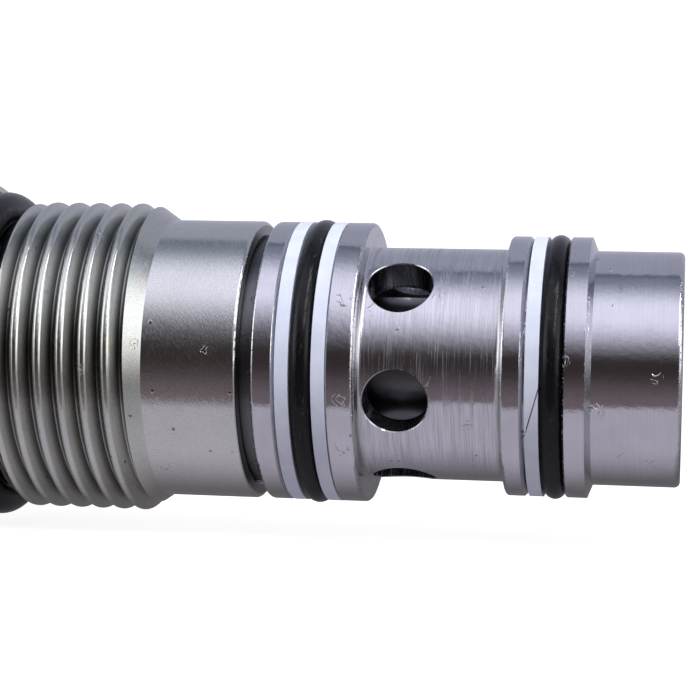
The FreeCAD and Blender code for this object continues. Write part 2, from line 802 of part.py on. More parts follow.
def pilot_stage():
    """The pilot seat with its O-ring and drain slots, the ball, and the guide that holds it."""
    edge = D["edge_break"]
    seat = turned("pilot_seat", [
        (D["socket_floor_at"] + D["ring_gap"], D["seat_hole_radius"]),
        (D["socket_floor_at"] + D["ring_gap"], D["seat_flange_radius"], edge),
        (D["seat_flange_end_at"], D["seat_flange_radius"], edge),
        (D["seat_flange_end_at"], D["piston_radius"]),
        (D["seat_ring_groove_at"], D["piston_radius"]),
        (D["seat_ring_groove_at"], D["seat_ring_groove_radius"]),
        (D["seat_ring_groove_end_at"], D["seat_ring_groove_radius"]),
        (D["seat_ring_groove_end_at"], D["piston_radius"]),
        (D["seat_stem_end_at"], D["piston_radius"], edge),
        (D["seat_stem_end_at"], D["seat_relief_radius"]),
        (D["seat_hole_end_at"], D["seat_relief_radius"]),
        (D["seat_hole_end_at"], D["seat_hole_radius"]),
    ])
    slot = new_sketch(seat, "YZ_Plane", along_x=D["socket_floor_at"])
    half = D["seat_slot_width"] / 2
    reach = D["seat_flange_radius"] + edge
    draw_outline(slot, [
        (D["seat_slot_inner"], AXIS - half),
        (reach, AXIS - half),
        (reach, half),
        (D["seat_slot_inner"], half),
    ])
    first = cut_pocket(seat, slot, D["seat_slot_depth"], reverse=True)
    repeat_round_axis(seat, first, int(D["seat_slot_count"].value), FULL_TURN)
    section = D["seat_ring_section"]
    ring_radius = D["seat_ring_groove_radius"] + D["ring_gap"] + section
    ring_at = (D["seat_ring_groove_at"] + D["seat_ring_groove_end_at"]) / 2
    round_ring("pilot_seat_o_ring", ring_at, ring_radius, section)
    turned("ball_guide", [
        (D["guide_start_at"], AXIS),
        (D["guide_start_at"], D["guide_nose_radius"], edge),
        (D["guide_flange_at"], D["guide_nose_radius"]),
        (D["guide_flange_at"], D["guide_flange_radius"], edge),
        (D["guide_flange_end_at"], D["guide_flange_radius"], edge),
        (D["guide_flange_end_at"], D["guide_nose_radius"]),
        (D["guide_end_at"], D["guide_nose_radius"], edge),
        (D["guide_end_at"], D["guide_socket_radius"]),
        (D["guide_socket_at"], D["guide_socket_radius"]),
        (D["guide_socket_at"], AXIS),
    ])
    ball = doc.addObject("Part::Sphere", "pilot_ball")
    ball.Label = "pilot_ball"
    ball.setExpression("Radius", D["ball_radius"].text)
    ball.setExpression("Placement.Base.x", D["ball_at"].text)
    pieces.append(ball)


def springs():
    """The main spring behind the piston, and the pilot spring behind the ball guide."""
    gap = D["ring_gap"]
    coil_spring(
        "main_spring",
        D["seat_stem_end_at"] + gap,
        D["piston_floor_at"] - gap,
        D["main_spring_radius"],
        D["main_spring_wire"],
        D["main_spring_turns"],
    )
    coil_spring(
        "pilot_spring",
        D["button_end_at"] + gap,
        D["guide_flange_at"] - gap,
        D["pilot_spring_radius"],
        D["pilot_spring_wire"],
        D["pilot_spring_turns"],
    )


def adjuster():
    """The sealed spring guide, the adjusting screw, the locknut and its seal washer."""
    edge = D["edge_break"]
    turned("spring_guide", [
        (D["button_start_at"], AXIS),
        (D["button_start_at"], D["button_radius"], edge),
        (D["button_groove_at"], D["button_radius"]),
        (D["button_groove_at"], D["button_groove_radius"]),
        (D["button_groove_end_at"], D["button_groove_radius"]),
        (D["button_groove_end_at"], D["button_radius"]),
        (D["button_end_at"], D["button_radius"], edge),
        (D["button_end_at"], D["button_nose_radius"]),
        (D["button_nose_end_at"], D["button_nose_radius"], edge),
        (D["button_nose_end_at"], AXIS),
    ])
    gap = D["ring_gap"]
    flat_ring(
        "adjuster_backup_ring",
        D["button_groove_at"] + gap,
        D["button_backup_end_at"],
        D["button_groove_radius"] + gap,
        D["button_radius"],
    )
    section = D["button_ring_section"]
    ring_radius = D["button_groove_radius"] + gap + section
    round_ring("adjuster_o_ring", D["button_ring_at"], ring_radius, section)
    adjusting_screw()
    locknut()
    flat_ring(
        "seal_washer",
        D["seal_washer_at"],
        D["seal_washer_end_at"],
        D["seal_washer_bore_radius"],
        D["seal_washer_radius"],
    )


def adjusting_screw():
    """The threaded adjusting screw, with a hexagon socket in its outer end."""
    root = thread_root(D["screw_radius"], D["screw_pitch"])
    tip_at = D["button_start_at"] - D["screw_tip_gap"]
    screw = turned("adjusting_screw", [
        (D["screw_end_at"], AXIS),
        (D["screw_end_at"], root, D["edge_break"]),
        (D["screw_thread_end_at"], root),
        (D["screw_thread_end_at"], D["screw_tip_radius"]),
        (tip_at, D["screw_tip_radius"], D["edge_break"]),
        (tip_at, AXIS),
    ])
    crest_at = D["screw_end_at"] - D["screw_pitch"]
    length = D["screw_thread_end_at"] + D["screw_pitch"] - crest_at
    wind_thread(screw, crest_at, D["screw_radius"], D["screw_pitch"], length)
    below = root - D["screw_chamfer"]
    above = D["screw_radius"] + D["screw_chamfer"]
    outer_end = D["screw_end_at"]
    inner_end = D["screw_thread_end_at"]
    turn_away(screw, [
        (outer_end - SPARE, below),
        (outer_end, below),
        (outer_end, root - D["edge_break"]),
        (outer_end + (above - root + D["edge_break"]), above),
        (outer_end - SPARE, above),
    ])
    clear = D["screw_tip_radius"] + D["edge_break"]
    turn_away(screw, [
        (inner_end, clear),
        (inner_end + SPARE * 2, clear),
        (inner_end + SPARE * 2, above),
        (inner_end - (above - root), above),
        (inner_end, root),
    ])
    socket = new_sketch(screw, "YZ_Plane", along_x=outer_end)
    draw_hexagon(socket, D["socket_width"])
    cut_pocket(screw, socket, D["socket_depth"], reverse=True)


def locknut():
    """The hexagon locknut, bevelled on both faces and turned a little from the head's flats."""
    corner = D["locknut_width"] / HEX_CORNER
    face_radius = D["locknut_width"] / 2
    chamfer = D["locknut_chamfer"]
    nut = turned("locknut", [
        (D["locknut_at"], D["locknut_bore_radius"], D["edge_break"]),
        (D["locknut_at"], face_radius),
        (D["locknut_at"] + chamfer, corner),
        (D["locknut_end_at"] - chamfer, corner),
        (D["locknut_end_at"], face_radius),
        (D["locknut_end_at"], D["locknut_bore_radius"], D["edge_break"]),
    ])
    cut_hexagon(
        nut,
        D["locknut_width"],
        corner + SPARE,
        D["locknut_end_at"],
        D["locknut_end_at"] - D["locknut_at"],
    )
    nut.Placement = FreeCAD.Placement(FreeCAD.Vector(), FreeCAD.Rotation(FreeCAD.Vector(1, 0, 0), 0))
    nut.setExpression("Placement.Rotation.Angle", D["locknut_turn"].text)


def check_and_write():
    """Stop if anything failed to build, then write one STEP file for each piece."""
    doc.recompute()
    failed = [obj.Label for obj in doc.Objects if {"Invalid", "Error"} & set(obj.State)]
    if failed:
        raise RuntimeError(f"these objects failed: {failed}")
    os.makedirs("parts", exist_ok=True)
    for piece in pieces:
        shape = piece.Shape
        if shape.isNull() or not shape.isValid() or len(shape.Solids) != 1:
            raise RuntimeError(f"{piece.Label} is not one valid solid")
        shape.exportStep(f"parts/{piece.Label}.step")
        print(f"{piece.Label}: {shape.Volume:.1f} mm3, X {shape.BoundBox.XMin:.2f} to {shape.BoundBox.XMax:.2f}")


valve_body()
cage()
round_ring(
    "cage_retaining_ring",
    D["clip_at"],
    D["socket_radius"],
    D["clip_wire_radius"],
    D["clip_turn"],
)
cage_seals()
main_piston()
pilot_stage()
springs()
adjuster()
check_and_write()
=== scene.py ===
import json
import math

import bpy
from mathutils import Matrix, Vector


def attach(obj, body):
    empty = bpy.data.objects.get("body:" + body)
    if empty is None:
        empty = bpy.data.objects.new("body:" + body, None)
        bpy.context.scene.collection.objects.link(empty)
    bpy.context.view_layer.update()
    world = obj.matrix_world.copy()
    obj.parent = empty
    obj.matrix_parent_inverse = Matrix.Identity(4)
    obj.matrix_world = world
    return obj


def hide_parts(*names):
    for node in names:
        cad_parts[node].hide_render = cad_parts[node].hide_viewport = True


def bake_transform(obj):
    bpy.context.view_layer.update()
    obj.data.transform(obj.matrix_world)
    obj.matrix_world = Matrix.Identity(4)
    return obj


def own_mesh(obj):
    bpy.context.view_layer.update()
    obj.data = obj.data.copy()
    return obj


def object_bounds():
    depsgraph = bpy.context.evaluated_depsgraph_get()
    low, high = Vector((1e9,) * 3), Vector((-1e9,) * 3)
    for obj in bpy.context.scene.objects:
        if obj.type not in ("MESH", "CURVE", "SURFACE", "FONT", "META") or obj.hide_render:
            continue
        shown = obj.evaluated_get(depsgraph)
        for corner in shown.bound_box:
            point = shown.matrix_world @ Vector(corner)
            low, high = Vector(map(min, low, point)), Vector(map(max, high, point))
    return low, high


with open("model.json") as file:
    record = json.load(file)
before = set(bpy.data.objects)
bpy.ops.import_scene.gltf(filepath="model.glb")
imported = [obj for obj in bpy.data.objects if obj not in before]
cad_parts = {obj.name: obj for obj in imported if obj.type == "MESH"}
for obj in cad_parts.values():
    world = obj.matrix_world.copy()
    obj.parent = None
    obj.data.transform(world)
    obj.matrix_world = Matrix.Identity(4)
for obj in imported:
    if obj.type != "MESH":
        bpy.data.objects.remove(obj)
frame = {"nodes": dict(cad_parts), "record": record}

# A screw-in hydraulic cartridge valve on a pale floor, in metres.
# The valve's axis is X, with the head at -X and the nose at +X.

MM = 0.001
CAD_LOW, CAD_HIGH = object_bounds()
NODES = frame["nodes"]

scene = bpy.context.scene
scene.view_settings.view_transform = "Standard"


# --- node helpers -----------------------------------------------------------------------------

class Graph:
    """A short way to write node graphs: every call adds one node and returns its output."""

    def __init__(self, tree):
        self.tree = tree
        self.tree.nodes.clear()

    def put(self, socket, value):
        if isinstance(value, bpy.types.NodeSocket):
            self.tree.links.new(value, socket)
        elif value is not None:
            socket.default_value = value

    def add_node(self, kind, inputs=None, **settings):
        new = self.tree.nodes.new(kind)
        for name, value in settings.items():
            setattr(new, name, value)
        for key, value in (inputs or {}).items():
            self.put(new.inputs[key], value)
        return new

    def node(self, kind, inputs=None, output=0, **settings):
        return self.add_node(kind, inputs, **settings).outputs[output]

    def math(self, operation, *values):
        return self.node("ShaderNodeMath", dict(enumerate(values)), operation=operation)

    def add(self, a, b):
        return self.math("ADD", a, b)

    def multiply(self, a, b):
        return self.math("MULTIPLY", a, b)

    def ramp(self, value, low, high, to_low=0.0, to_high=1.0):
        """Map value from low..high to to_low..to_high, smoothly and clamped."""
        inputs = {0: value, 1: low, 2: high, 3: to_low, 4: to_high}
        return self.node("ShaderNodeMapRange", inputs, interpolation_type="SMOOTHSTEP")

    def between(self, value, low, high, soft):
        """1 where value lies between low and high, with soft ends, and 0 elsewhere."""
        rise = self.ramp(value, low - soft, low + soft)
        fall = self.ramp(value, high - soft, high + soft, 1.0, 0.0)
        return self.multiply(rise, fall)

    def mix(self, factor, a, b, blend="MIX"):
        """Mix two colours."""
        inputs = {0: factor, 6: a, 7: b}
        return self.node("ShaderNodeMix", inputs, output=2, data_type="RGBA", blend_type=blend)

    def grey(self, value):
        return self.node("ShaderNodeCombineColor", {0: value, 1: value, 2: value})

    def place(self):
        """The point in the piece's own metres, its place along the axis and its radius."""
        point = self.node("ShaderNodeTexCoord", output=3)
        along, across, up = self.add_node("ShaderNodeSeparateXYZ", {0: point}).outputs
        radius = self.math("SQRT", self.add(self.multiply(across, across), self.multiply(up, up)))
        return point, along, radius

    def stretch(self, point, sizes):
        """The point with each axis divided by a feature size, in metres."""
        scale = tuple(1 / size for size in sizes)
        return self.node("ShaderNodeVectorMath", {0: point, 1: scale}, operation="MULTIPLY")

    def noise(self, point, size, detail=2.0, roughness=0.5, distortion=0.0):
        """Noise whose blobs are about the given size across, in metres."""
        inputs = {"Vector": point, "Scale": 1 / size, "Detail": detail,
                  "Roughness": roughness, "Distortion": distortion}
        return self.node("ShaderNodeTexNoise", inputs)

    def lines(self, along, width, detail=3.0):
        """Noise that changes along one coordinate only."""
        inputs = {"W": along, "Scale": 1 / width, "Detail": detail}
        return self.node("ShaderNodeTexNoise", inputs, noise_dimensions="1D")

    def bump(self, height, distance, strength=1.0, normal=None):
        inputs = {"Strength": strength, "Distance": distance, "Height": height, "Normal": normal}
        return self.node("ShaderNodeBump", inputs)


def new_material(name):
    material = bpy.data.materials.new(name)
    material.use_nodes = True
    return material, Graph(material.node_tree)


def finish_material(graph, settings):
    """Add the surface shader with its inputs, and connect it to the output."""
    shader = graph.node("ShaderNodeBsdfPrincipled", settings)
    graph.add_node("ShaderNodeOutputMaterial", {"Surface": shader})


# --- metals -----------------------------------------------------------------------------------

def curly_marks(graph, point, cell, share, width):
    """Short curved handling marks, one here and there: 1 on a mark and 0 elsewhere."""
    bent = graph.noise(point, cell * 0.5, detail=1.0, distortion=1.2)
    line = graph.ramp(graph.math("ABSOLUTE", graph.add(bent, -0.5)), 0.0, width, 1.0, 0.0)
    cells = graph.add_node("ShaderNodeTexVoronoi", {"Vector": point, "Scale": 1 / cell})
    near = graph.ramp(cells.outputs["Distance"], 0.2, 0.34, 1.0, 0.0)
    chance = graph.node("ShaderNodeSeparateColor", {0: cells.outputs["Color"]})
    chosen = graph.math("LESS_THAN", chance, share)
    return graph.multiply(graph.multiply(line, near), chosen)


def specks(graph, point, cell, share):
    """Tiny round specks: 1 on a speck and 0 elsewhere."""
    cells = graph.add_node("ShaderNodeTexVoronoi", {"Vector": point, "Scale": 1 / cell})
    near = graph.ramp(cells.outputs["Distance"], 0.08, 0.16, 1.0, 0.0)
    chance = graph.node("ShaderNodeSeparateColor", {0: cells.outputs["Color"]}, output=1)
    return graph.multiply(near, graph.math("LESS_THAN", chance, share))


def near_places(graph, along, places, reach):
    """1 close to any of the places along the axis, falling to 0 at the reach."""
    total = None
    for place in places:
        off = graph.math("ABSOLUTE", graph.add(along, -place))
        close = graph.ramp(off, 0.0, reach, 1.0, 0.0)
        total = close if total is None else graph.math("MAXIMUM", total, close)
    return total


# Where the cage's and the body's outside changes, along the axis.
SPIGOT_GAP = (23.3 * MM, 24.66 * MM)
NECK = (32.7 * MM, 43.6 * MM)
CAGE_EDGES = [24.7 * MM, 26.45 * MM, 30.5 * MM, 32.5 * MM, 43.75 * MM, 45.33 * MM, 48.42 * MM,
              50.1 * MM, 57.1 * MM]
CAGE_BORE = 6.9 * MM
PORT_WALL = 9.25 * MM


def turned_cage(name, color):
    """The cage's bright turned steel: tool lines, comb-like on the neck, and handling marks, with painted
    shade in the gap, the bore and the port walls.
    """
    material, graph = new_material(name)
    point, along, radius = graph.place()
    neck = graph.between(along, *NECK, 0.15 * MM)
    lines = graph.noise(graph.stretch(point, (0.10 * MM, 5 * MM, 5 * MM)), 1.0, detail=3.0, roughness=0.7)
    bands = graph.noise(graph.stretch(point, (0.5 * MM, 9 * MM, 9 * MM)), 1.0, detail=2.0)
    cloud = graph.noise(point, 3.0 * MM, detail=4.0, roughness=0.6)
    grain = graph.noise(point, 0.09 * MM, detail=2.0)
    comb = graph.ramp(lines, 0.36, 0.66)
    rough = graph.add(graph.ramp(cloud, 0.35, 0.7, 0.055, 0.095), graph.multiply(comb, 0.035))
    streaks = graph.multiply(neck, graph.ramp(lines, 0.46, 0.70))
    rough = graph.add(rough, graph.multiply(streaks, 0.33))
    rough = graph.add(rough, graph.multiply(neck, graph.ramp(bands, 0.35, 0.65, 0.0, 0.05)))
    shade = graph.add(graph.ramp(lines, 0.3, 0.7, 1.03, 0.97), graph.ramp(cloud, 0.3, 0.7, -0.05, 0.03))
    shade = graph.add(shade, graph.multiply(neck, graph.ramp(lines, 0.3, 0.7, 0.08, -0.11)))
    tone = graph.mix(1.0, (*color, 1), graph.grey(shade), blend="MULTIPLY")
    height = graph.add(lines, graph.multiply(bands, 1.2))
    lift = graph.add(0.0012, graph.multiply(neck, 0.003))
    normal = graph.bump(height, 0.3 * MM, strength=lift)
    normal = graph.bump(grain, 0.1 * MM, strength=0.008, normal=normal)
    mottle = graph.noise(point, 0.45 * MM, detail=2.0)
    normal = graph.bump(mottle, 0.45 * MM, strength=0.022, normal=normal)
    dents = near_places(graph, along, CAGE_EDGES, 0.22 * MM)
    nick = graph.ramp(graph.noise(point, 0.22 * MM, detail=2.0), 0.56, 0.72)
    normal = graph.bump(nick, 0.05 * MM, strength=graph.multiply(dents, 0.5), normal=normal)
    scratch = curly_marks(graph, point, 2.4 * MM, 0.25, 0.02)
    scratch = graph.math("MAXIMUM", scratch, specks(graph, point, 0.9 * MM, 0.07))
    normal = graph.bump(scratch, 0.05 * MM, strength=0.7, normal=normal)
    tone = graph.mix(graph.multiply(scratch, 0.5), tone, (0.10, 0.09, 0.10, 1))
    # Painted shade: the spigot in the gap between the body and the cage, and the inside of the bore, are
    # darkened in the colour as shade in these recesses.
    gap = graph.multiply(graph.between(along, *SPIGOT_GAP, 0.03 * MM),
                         graph.ramp(radius, 10.4 * MM, 10.5 * MM, 1.0, 0.0))
    inside = graph.ramp(radius, CAGE_BORE, CAGE_BORE + 0.2 * MM, 1.0, 0.0)
    painted_gap_and_bore_shade = graph.math("MAXIMUM", graph.multiply(gap, 0.8), graph.multiply(inside, 0.6))
    tone = graph.mix(painted_gap_and_bore_shade, tone, (0.035, 0.04, 0.04, 1))
    wall_lines = graph.lines(radius, 0.16 * MM)
    wall = graph.multiply(neck, graph.between(radius, CAGE_BORE, PORT_WALL, 0.03 * MM))
    # Painted shade: the port walls are darkened halfway towards a bluish grey in the colour; their turning
    # lines below are real bumps.
    tone = graph.mix(graph.multiply(wall, 0.5), tone, (0.20, 0.20, 0.25, 1))
    normal = graph.bump(wall_lines, 0.1 * MM, strength=graph.multiply(wall, 0.12), normal=normal)
    finish_material(graph, {
        "Base Color": tone,
        "Metallic": 1.0,
        "Roughness": graph.add(rough, graph.multiply(painted_gap_and_bore_shade, 0.3)),
        "Normal": normal,
        "Anisotropic": 0.5,
        "Anisotropic Rotation": 0.25,
        "Tangent": graph.node("ShaderNodeTangent", direction_type="RADIAL", axis="X"),
    })
    return material


THREAD = (2.9 * MM, 16.0 * MM)
THREAD_RADIUS = 12.65 * MM
THREAD_TAPER_AT = 14.14 * MM
THREAD_TAPER = 0.703
THREAD_SHADE = (0.28 * MM, 1.1 * MM)
SKIRT = (16.1 * MM, 23.4 * MM)
HATCH_TILT = math.radians(-58)


def zinc_plate(name, color, threaded=True):
    """Satin zinc plating: a fine speckle, faint colours in the thread, painted shade in the thread roots and
    on the end face beside the gap.
    """
    material, graph = new_material(name)
    point, along, radius = graph.place()
    speckle = graph.noise(point, 0.10 * MM, detail=3.0, roughness=0.65)
    blotch = graph.noise(point, 0.8 * MM, detail=3.0)
    cloud = graph.noise(point, 3.5 * MM, detail=3.0)
    tint = graph.noise(point, 1.7 * MM, detail=1.0)
    duller = tuple(0.95 * part for part in color)
    tone = graph.mix(graph.ramp(cloud, 0.3, 0.7), (*duller, 1), (*color, 1))
    shade = graph.ramp(speckle, 0.3, 0.7, 0.86, 1.08)
    rough = graph.add(graph.ramp(blotch, 0.35, 0.7, 0.10, 0.15), graph.ramp(speckle, 0.4, 0.75, 0.0, 0.06))
    normal = graph.bump(speckle, 0.1 * MM, strength=0.055)
    if threaded:
        thread = graph.between(along, *THREAD, 0.2 * MM)
        gold = graph.multiply(thread, graph.ramp(tint, 0.42, 0.62, 0.0, 0.22))
        tone = graph.mix(gold, tone, (0.66, 0.58, 0.47, 1))
        green = graph.multiply(thread, graph.ramp(tint, 0.40, 0.56, 0.14, 0.0))
        tone = graph.mix(green, tone, (0.52, 0.57, 0.52, 1))
        # Painted shade: the thread's roots, below the thread's outline, are darkened in the colour.
        past = graph.math("MAXIMUM", graph.add(along, -THREAD_TAPER_AT), 0.0)
        outline = graph.math("SUBTRACT", THREAD_RADIUS, graph.multiply(past, THREAD_TAPER))
        painted_root_shade = graph.ramp(graph.math("SUBTRACT", outline, radius), *THREAD_SHADE)
        tone = graph.mix(graph.multiply(graph.multiply(painted_root_shade, thread), 0.64), tone, (0.05, 0.045, 0.045, 1))
        rough = graph.add(rough, graph.multiply(thread, 0.06))
        tone = graph.mix(thread, tone, (0.95, 0.96, 0.94, 1), blend="MULTIPLY")
        skirt = graph.between(along, *SKIRT, 0.1 * MM)
        tilted = graph.node("ShaderNodeVectorRotate", {"Vector": point, "Angle": HATCH_TILT},
                            rotation_type="Y_AXIS")
        hatch = graph.noise(graph.stretch(tilted, (0.45 * MM, 1.6 * MM, 0.13 * MM)), 1.0,
                            detail=2.0, distortion=0.3)
        normal = graph.bump(hatch, 0.2 * MM, strength=graph.multiply(skirt, 0.045), normal=normal)
        rough = graph.add(rough, graph.multiply(skirt, graph.ramp(hatch, 0.4, 0.65, -0.03, 0.05)))
        # Painted shade: the skirt's end face beside the gap is darkened in the colour.
        face = graph.between(along, 23.28 * MM, 23.6 * MM, 0.03 * MM)
        shaded_face = graph.multiply(face, graph.ramp(radius, 10.95 * MM, 11.05 * MM, 1.0, 0.0))
        tone = graph.mix(graph.multiply(shaded_face, 0.85), tone, (0.05, 0.05, 0.05, 1))
    scratch = graph.math("MAXIMUM", curly_marks(graph, point, 1.9 * MM, 0.10, 0.02),
                         specks(graph, point, 1.1 * MM, 0.08))
    normal = graph.bump(scratch, 0.05 * MM, strength=0.5, normal=normal)
    tone = graph.mix(1.0, tone, graph.grey(shade), blend="MULTIPLY")
    tone = graph.mix(graph.multiply(scratch, 0.7), tone, (0.06, 0.055, 0.05, 1))
    finish_material(graph, {
        "Base Color": tone,
        "Metallic": 1.0,
        "Roughness": rough,
        "Normal": normal,
    })
    return material


def plain_metal(name, color, roughness, line_width):
    """Ground or drawn metal: fine lines round the axis and a little cloudiness."""
    material, graph = new_material(name)
    point, _, _ = graph.place()
    lines = graph.noise(graph.stretch(point, (line_width, 3 * MM, 3 * MM)), 1.0, detail=2.0)
    cloud = graph.noise(point, 3 * MM, detail=2.0)
    shade = graph.add(graph.ramp(cloud, 0.3, 0.7, 0.85, 1.1), graph.ramp(lines, 0.3, 0.7, -0.05, 0.05))
    finish_material(graph, {
        "Base Color": graph.mix(1.0, (*color, 1), graph.grey(shade), blend="MULTIPLY"),
        "Metallic": 1.0,
        "Roughness": graph.add(graph.ramp(lines, 0.3, 0.7, -0.03, 0.06), roughness),
        "Normal": graph.bump(lines, 0.2 * MM, strength=0.01),
    })
    return material


# --- rubber and PTFE --------------------------------------------------------------------------

def rubber(name, color=(0.005, 0.005, 0.006), painted_gleam_color=(0.035, 0.035, 0.04)):
    """Moulded nitrile rubber: near black, with a broken gleam painted into its colour."""
    material, graph = new_material(name)
    point, _, _ = graph.place()
    streaks = graph.noise(graph.stretch(point, (0.12 * MM, 0.7 * MM, 0.7 * MM)), 1.0,
                          detail=3.0, roughness=0.6)
    patches = graph.noise(point, 1.2 * MM, detail=4.0, roughness=0.65)
    rough = graph.add(graph.ramp(patches, 0.3, 0.7, 0.07, 0.15), graph.ramp(streaks, 0.4, 0.7, 0.0, 0.07))
    # Painted highlight: broken streaks of the rubber are lightened in the colour as a gleam.
    gleam = graph.multiply(graph.ramp(streaks, 0.56, 0.68), graph.ramp(patches, 0.42, 0.6))
    finish_material(graph, {
        "Base Color": graph.mix(gleam, (*color, 1), (*painted_gleam_color, 1)),
        "Roughness": rough,
        "Specular IOR Level": 0.22,
        "Normal": graph.bump(streaks, 0.1 * MM, strength=0.2),
    })
    return material


def ptfe(name):
    """PTFE ring: waxy bluish white, faintly translucent, with hair-fine turning lines."""
    material, graph = new_material(name)
    point, along, _ = graph.place()
    lines = graph.lines(along, 0.06 * MM)
    cloud = graph.noise(point, 1.5 * MM, detail=3.0)
    finish_material(graph, {
        "Base Color": graph.mix(graph.ramp(cloud, 0.35, 0.7), (0.61, 0.65, 0.75, 1), (0.67, 0.70, 0.79, 1)),
        "Roughness": graph.ramp(cloud, 0.3, 0.7, 0.36, 0.48),
        "Subsurface Weight": 0.1,
        "Subsurface Radius": (0.4 * MM, 0.4 * MM, 0.5 * MM),
        "Subsurface Scale": 1.0,
        "Normal": graph.bump(lines, 0.1 * MM, strength=0.03),
    })
    return material


# --- which piece has which finish ---------------------------------------------------------------

def make_finishes():
    """Every finish, by its material slot."""
    return {
        "zinc_plated_steel": zinc_plate("zinc_plated_steel", (0.65, 0.66, 0.64)),
        "turned_steel": turned_cage("turned_steel", (0.60, 0.595, 0.63)),
        # Painted shade: hardened_steel's colour is far darker than bare steel, for the pieces that sit in
        # shade inside the cage.
        "hardened_steel": plain_metal("hardened_steel", (0.17, 0.172, 0.18), 0.34, 0.12 * MM),
        "zinc_plated_fastener": zinc_plate("zinc_plated_fastener", (0.56, 0.57, 0.56), threaded=False),
        "ball_steel": plain_metal("ball_steel", (0.70, 0.70, 0.72), 0.06, 0.4 * MM),
        "spring_steel": plain_metal("spring_steel", (0.26, 0.26, 0.28), 0.26, 0.15 * MM),
        "stainless_mesh": plain_metal("stainless_mesh", (0.50, 0.50, 0.52), 0.22, 0.2 * MM),
        "nitrile_rubber": rubber("nitrile_rubber"),
        "seal_washer_rubber": rubber("seal_washer_rubber", (0.010, 0.010, 0.011), (0.09, 0.09, 0.09)),
        "ptfe": ptfe("ptfe"),
    }


def dress(finishes):
    """Give every CAD node its finish, by its material slot."""
    slots = {part["node"]: part["material_slot"] for part in frame["record"]["subparts"]}
    for name, node in NODES.items():
        node.data.materials.clear()
        node.data.materials.append(finishes[slots[name]])


# --- springs ------------------------------------------------------------------------------------

WIRE_SIDES = 16
STEPS_A_TURN = 48
DEAD_TURNS = 1.0
GROUND_SHARE = 0.55
MAIN_SPRING = {"start": 19.02 * MM, "end": 30.98 * MM, "coil_radius": 4.1 * MM,
               "wire_radius": 0.6 * MM, "turns": 6.5}
PILOT_SPRING = {"start": 0.32 * MM, "end": 7.38 * MM, "coil_radius": 4.05 * MM,
                "wire_radius": 0.5 * MM, "turns": 3.5}


def spring(name, start, end, coil_radius, wire_radius, turns, finish, share=(0.0, 1.0)):
    """A compression spring about the X axis, with a closed coil ground flat at each end, or a share of it."""
    dead = 2 * wire_radius * DEAD_TURNS
    low, high = start + wire_radius * GROUND_SHARE, end - wire_radius * GROUND_SHARE
    steps = round(turns * STEPS_A_TURN * (share[1] - share[0]))
    verts, faces = [], []
    for i in range(steps + 1):
        turn = turns * (share[0] + (share[1] - share[0]) * i / steps)
        first = min(turn / DEAD_TURNS, 1.0) * dead
        last = min((turns - turn) / DEAD_TURNS, 1.0) * dead
        live = max(0.0, min(turn - DEAD_TURNS, turns - 2 * DEAD_TURNS)) / (turns - 2 * DEAD_TURNS)
        along = low + first + live * (high - low - 2 * dead) + (dead - last)
        angle = 2 * math.pi * turn
        for k in range(WIRE_SIDES):
            side = 2 * math.pi * k / WIRE_SIDES
            radius = coil_radius + wire_radius * math.cos(side)
            x = min(max(along + wire_radius * math.sin(side), start), end)
            verts.append((x, radius * math.cos(angle), radius * math.sin(angle)))
    for i in range(steps):
        for k in range(WIRE_SIDES):
            j = (k + 1) % WIRE_SIDES
            a, b = i * WIRE_SIDES, (i + 1) * WIRE_SIDES
            faces.append((a + k, b + k, b + j, a + j))
    faces.append(tuple(range(WIRE_SIDES)))
    faces.append(tuple(reversed(range(steps * WIRE_SIDES, (steps + 1) * WIRE_SIDES))))
    mesh = bpy.data.meshes.new(name)
    mesh.from_pydata(verts, [], faces)
    mesh.shade_smooth()
    mesh.materials.append(finish)
    piece = bpy.data.objects.new(name, mesh)
    scene.collection.objects.link(piece)
    return piece


def build_springs(finish):
    """The two springs, as real coils: the main spring rides on the cage, and the pilot spring is split into a
    fixed rear half and a front half that rides on the valve body.
    """
    main = spring("main_spring_coil", finish=finish, **MAIN_SPRING)
    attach(main, "cage")
    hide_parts("main_spring")
    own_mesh(main)
    rear = spring("pilot_spring_rear", finish=finish, share=(0.0, 0.5), **PILOT_SPRING)
    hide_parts("pilot_spring")
    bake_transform(rear)
    front = spring("pilot_spring_front", finish=finish, share=(0.5, 1.0), **PILOT_SPRING)
    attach(front, "valve_body")
    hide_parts("pilot_spring")
    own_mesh(front)


# --- stage --------------------------------------------------------------------------------------

FLOOR_RADIUS = 0.9
WALL_BEND = 0.5
WALL_HEIGHT = 2.5
AROUND = 96
BEND_STEPS = 12


